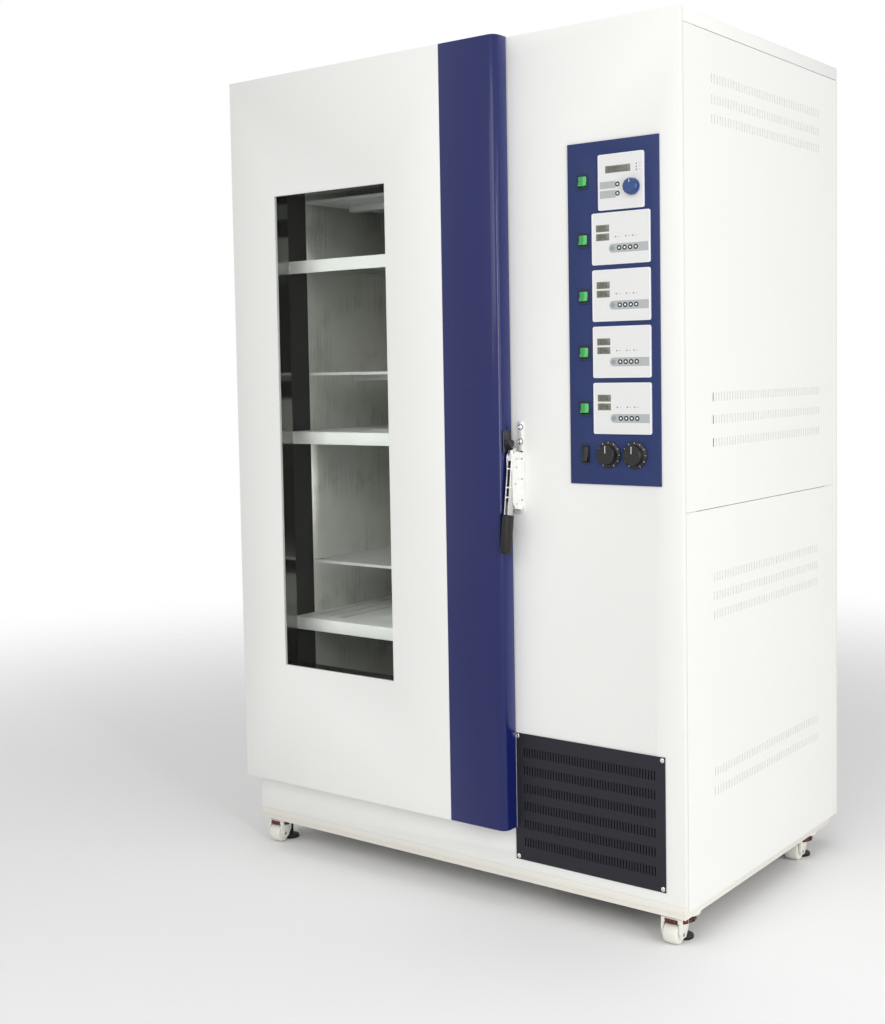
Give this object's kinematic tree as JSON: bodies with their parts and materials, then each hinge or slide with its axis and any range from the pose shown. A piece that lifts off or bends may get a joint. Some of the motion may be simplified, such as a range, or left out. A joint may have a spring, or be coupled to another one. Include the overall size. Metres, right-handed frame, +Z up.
{
  "type": "refrigerated shaking incubator",
  "caption": "Tall insulated cabinet with a hinged window door, stacked orbital shaking platforms, a side control panel, a refrigeration unit and levelling casters.",
  "frame": {"origin": "on the floor, under the middle of the whole machine's box", "axes": "+Z up; +Y from the door towards the back; +X to the control panel's side"},
  "size_m": [1.2668, 0.9076, 1.98],
  "materials": {
    "white_paint": "fine textured white paint",
    "blue_paint": "smooth blue paint",
    "panel_blue": "satin blue paint",
    "dark_paint": "satin dark paint",
    "frame_paint": "cream paint",
    "stainless": "bright rolled",
    "platform_alloy": "satin",
    "foam": "foamed in place",
    "glass": "clear",
    "black_rubber": "matt",
    "foot_steel": "matt",
    "black_plastic": "satin",
    "module_plastic": "printed film on plastic",
    "green_plastic": "clear green",
    "knob_blue": "smooth",
    "ivory_plastic": "ivory nylon",
    "chrome": "plated",
    "machine_black": "black enamel",
    "steel": "machined"
  },
  "bodies": {
    "cabinet": {"base_frame": "frame_paint", "side_casing": "white_paint", "top_panel": "white_paint", "right_upper_panel": "white_paint", "right_lower_panel": "white_paint", "front_panel": "white_paint", "chamber_liner": "stainless", "insulation_jacket": "foam", "duct_cover": "stainless", "condensing_unit": "machine_black", "control_panel": "panel_blue", "chamber_controller": "module_plastic", "tier_controller_1": "module_plastic", "tier_controller_2": "module_plastic", "tier_controller_3": "module_plastic", "tier_controller_4": "module_plastic", "front_grille": "dark_paint", "shelf_1": "white_paint", "shelf_2": "white_paint", "shelf_3": "white_paint", "latch_bracket": "chrome"},
    "door": {"door_shell": "white_paint", "door_edge_cover": "blue_paint", "door_core": "foam", "window_pane": "glass", "door_gasket": "black_rubber", "door_strike": "chrome"},
    "latch": {"latch_lever": "chrome", "latch_grip": "black_rubber"},
    "condenser_fan": {"condenser_fan": "machine_black"},
    "circulation_fan": {"circulation_fan": "steel"},
    "setting_knob": {"setting_knob": "knob_blue"},
    "limit_dial_1": {"limit_dial_1": "black_plastic"},
    "limit_dial_2": {"limit_dial_2": "black_plastic"},
    "main_switch": {"main_switch": "green_plastic"},
    "tier_switch_1": {"tier_switch_1": "green_plastic"},
    "tier_switch_2": {"tier_switch_2": "green_plastic"},
    "tier_switch_3": {"tier_switch_3": "green_plastic"},
    "tier_switch_4": {"tier_switch_4": "green_plastic"},
    "lamp_switch": {"lamp_switch": "black_plastic"},
    "tier_1_crank": {"crank_1": "steel"},
    "tier_1_platform": {"platform_1": "platform_alloy"},
    "tier_2_crank": {"crank_2": "steel"},
    "tier_2_platform": {"platform_2": "platform_alloy"},
    "tier_3_crank": {"crank_3": "steel"},
    "tier_3_platform": {"platform_3": "platform_alloy"},
    "tier_4_crank": {"crank_4": "steel"},
    "tier_4_platform": {"platform_4": "platform_alloy"},
    "caster_1": {"caster_body_1": "ivory_plastic"},
    "wheel_1": {"caster_wheel_1": "ivory_plastic"},
    "foot_1": {"levelling_foot_1": "foot_steel"},
    "caster_2": {"caster_body_2": "ivory_plastic"},
    "wheel_2": {"caster_wheel_2": "ivory_plastic"},
    "foot_2": {"levelling_foot_2": "foot_steel"},
    "caster_3": {"caster_body_3": "ivory_plastic"},
    "wheel_3": {"caster_wheel_3": "ivory_plastic"},
    "foot_3": {"levelling_foot_3": "foot_steel"},
    "caster_4": {"caster_body_4": "ivory_plastic"},
    "wheel_4": {"caster_wheel_4": "ivory_plastic"},
    "foot_4": {"levelling_foot_4": "foot_steel"}
  },
  "joints": [
    {"name": "door_swing", "type": "hinge", "parent": "cabinet", "child": "door", "pos_m": [-0.634, -0.3925, 0.99], "axis": [0, 0, -1], "range_deg": [0, 110]},
    {"name": "latch_swing", "type": "hinge", "parent": "cabinet", "child": "latch", "pos_m": [0.21205, -0.409, 1.048], "axis": [-1, 0, 0], "range_deg": [0, 100]},
    {"name": "circulation_fan_spin", "type": "hinge", "parent": "cabinet", "child": "circulation_fan", "pos_m": [-0.213, 0.3165, 1.09], "axis": [0, 1, 0], "continuous": true},
    {"name": "condenser_fan_spin", "type": "hinge", "parent": "cabinet", "child": "condenser_fan", "pos_m": [0.39745, -0.267, 0.2255], "axis": [0, 1, 0], "continuous": true},
    {"name": "setting_knob_turn", "type": "hinge", "parent": "cabinet", "child": "setting_knob", "pos_m": [0.5165, -0.3929, 1.621], "axis": [0, -1, 0], "continuous": true},
    {"name": "limit_dial_turn_1", "type": "hinge", "parent": "cabinet", "child": "limit_dial_1", "pos_m": [0.451, -0.3886, 1.0545], "axis": [0, -1, 0], "range_deg": [-270, 0]},
    {"name": "limit_dial_turn_2", "type": "hinge", "parent": "cabinet", "child": "limit_dial_2", "pos_m": [0.515, -0.3886, 1.0545], "axis": [0, -1, 0], "range_deg": [-270, 0]},
    {"name": "main_switch_rock", "type": "hinge", "parent": "cabinet", "child": "main_switch", "pos_m": [0.3935, -0.3898, 1.6417], "axis": [1, 0, 0], "range_deg": [0, 18]},
    {"name": "tier_switch_1_rock", "type": "hinge", "parent": "cabinet", "child": "tier_switch_1", "pos_m": [0.3935, -0.3898, 1.5163], "axis": [1, 0, 0], "range_deg": [0, 18]},
    {"name": "tier_switch_2_rock", "type": "hinge", "parent": "cabinet", "child": "tier_switch_2", "pos_m": [0.3935, -0.3898, 1.3956], "axis": [1, 0, 0], "range_deg": [0, 18]},
    {"name": "tier_switch_3_rock", "type": "hinge", "parent": "cabinet", "child": "tier_switch_3", "pos_m": [0.3935, -0.3898, 1.2749], "axis": [1, 0, 0], "range_deg": [0, 18]},
    {"name": "tier_switch_4_rock", "type": "hinge", "parent": "cabinet", "child": "tier_switch_4", "pos_m": [0.3935, -0.3898, 1.1542], "axis": [1, 0, 0], "range_deg": [0, 18]},
    {"name": "lamp_switch_rock", "type": "hinge", "parent": "cabinet", "child": "lamp_switch", "pos_m": [0.3935, -0.3898, 1.0545], "axis": [1, 0, 0], "range_deg": [0, 18]},
    {"name": "tier_1_drive", "type": "hinge", "parent": "cabinet", "child": "tier_1_crank", "pos_m": [-0.213, -0.0164, 1.6175], "axis": [0, 0, 1], "continuous": true},
    {"name": "tier_1_orbit", "type": "hinge", "parent": "tier_1_crank", "child": "tier_1_platform", "pos_m": [-0.2005, -0.0164, 1.6295], "axis": [0, 0, 1], "continuous": true},
    {"name": "tier_2_drive", "type": "hinge", "parent": "cabinet", "child": "tier_2_crank", "pos_m": [-0.213, -0.0164, 1.172], "axis": [0, 0, 1], "continuous": true},
    {"name": "tier_2_orbit", "type": "hinge", "parent": "tier_2_crank", "child": "tier_2_platform", "pos_m": [-0.2005, -0.0164, 1.184], "axis": [0, 0, 1], "continuous": true},
    {"name": "tier_3_drive", "type": "hinge", "parent": "cabinet", "child": "tier_3_crank", "pos_m": [-0.213, -0.0164, 0.679], "axis": [0, 0, 1], "continuous": true},
    {"name": "tier_3_orbit", "type": "hinge", "parent": "tier_3_crank", "child": "tier_3_platform", "pos_m": [-0.2005, -0.0164, 0.691], "axis": [0, 0, 1], "continuous": true},
    {"name": "tier_4_drive", "type": "hinge", "parent": "cabinet", "child": "tier_4_crank", "pos_m": [-0.213, -0.0164, 0.2245], "axis": [0, 0, 1], "continuous": true},
    {"name": "tier_4_orbit", "type": "hinge", "parent": "tier_4_crank", "child": "tier_4_platform", "pos_m": [-0.2005, -0.0164, 0.2365], "axis": [0, 0, 1], "continuous": true},
    {"name": "caster_swivel_1", "type": "hinge", "parent": "cabinet", "child": "caster_1", "pos_m": [-0.585, -0.319, 0.0637], "axis": [0, 0, 1], "continuous": true},
    {"name": "wheel_roll_1", "type": "hinge", "parent": "caster_1", "child": "wheel_1", "pos_m": [-0.585, -0.365, 0.0245], "axis": [1, 0, 0], "continuous": true},
    {"name": "foot_screw_1", "type": "slide", "parent": "caster_1", "child": "foot_1", "axis": [0, 0, 1], "range_m": [0, 0.008]},
    {"name": "caster_swivel_2", "type": "hinge", "parent": "cabinet", "child": "caster_2", "pos_m": [0.585, -0.319, 0.0637], "axis": [0, 0, 1], "continuous": true},
    {"name": "wheel_roll_2", "type": "hinge", "parent": "caster_2", "child": "wheel_2", "pos_m": [0.585, -0.365, 0.0245], "axis": [1, 0, 0], "continuous": true},
    {"name": "foot_screw_2", "type": "slide", "parent": "caster_2", "child": "foot_2", "axis": [0, 0, 1], "range_m": [0, 0.008]},
    {"name": "caster_swivel_3", "type": "hinge", "parent": "cabinet", "child": "caster_3", "pos_m": [-0.585, 0.318, 0.0637], "axis": [0, 0, 1], "continuous": true},
    {"name": "wheel_roll_3", "type": "hinge", "parent": "caster_3", "child": "wheel_3", "pos_m": [-0.585, 0.272, 0.0245], "axis": [1, 0, 0], "continuous": true},
    {"name": "foot_screw_3", "type": "slide", "parent": "caster_3", "child": "foot_3", "axis": [0, 0, 1], "range_m": [0, 0.008]},
    {"name": "caster_swivel_4", "type": "hinge", "parent": "cabinet", "child": "caster_4", "pos_m": [0.585, 0.318, 0.0637], "axis": [0, 0, 1], "continuous": true},
    {"name": "wheel_roll_4", "type": "hinge", "parent": "caster_4", "child": "wheel_4", "pos_m": [0.585, 0.272, 0.0245], "axis": [1, 0, 0], "continuous": true},
    {"name": "foot_screw_4", "type": "slide", "parent": "caster_4", "child": "foot_4", "axis": [0, 0, 1], "range_m": [0, 0.008]}
  ],
  "couplings": [
    {"joint": "tier_1_orbit", "follows": "tier_1_drive", "ratio": -1},
    {"joint": "tier_2_orbit", "follows": "tier_2_drive", "ratio": -1},
    {"joint": "tier_3_orbit", "follows": "tier_3_drive", "ratio": -1},
    {"joint": "tier_4_orbit", "follows": "tier_4_drive", "ratio": -1}
  ]
}
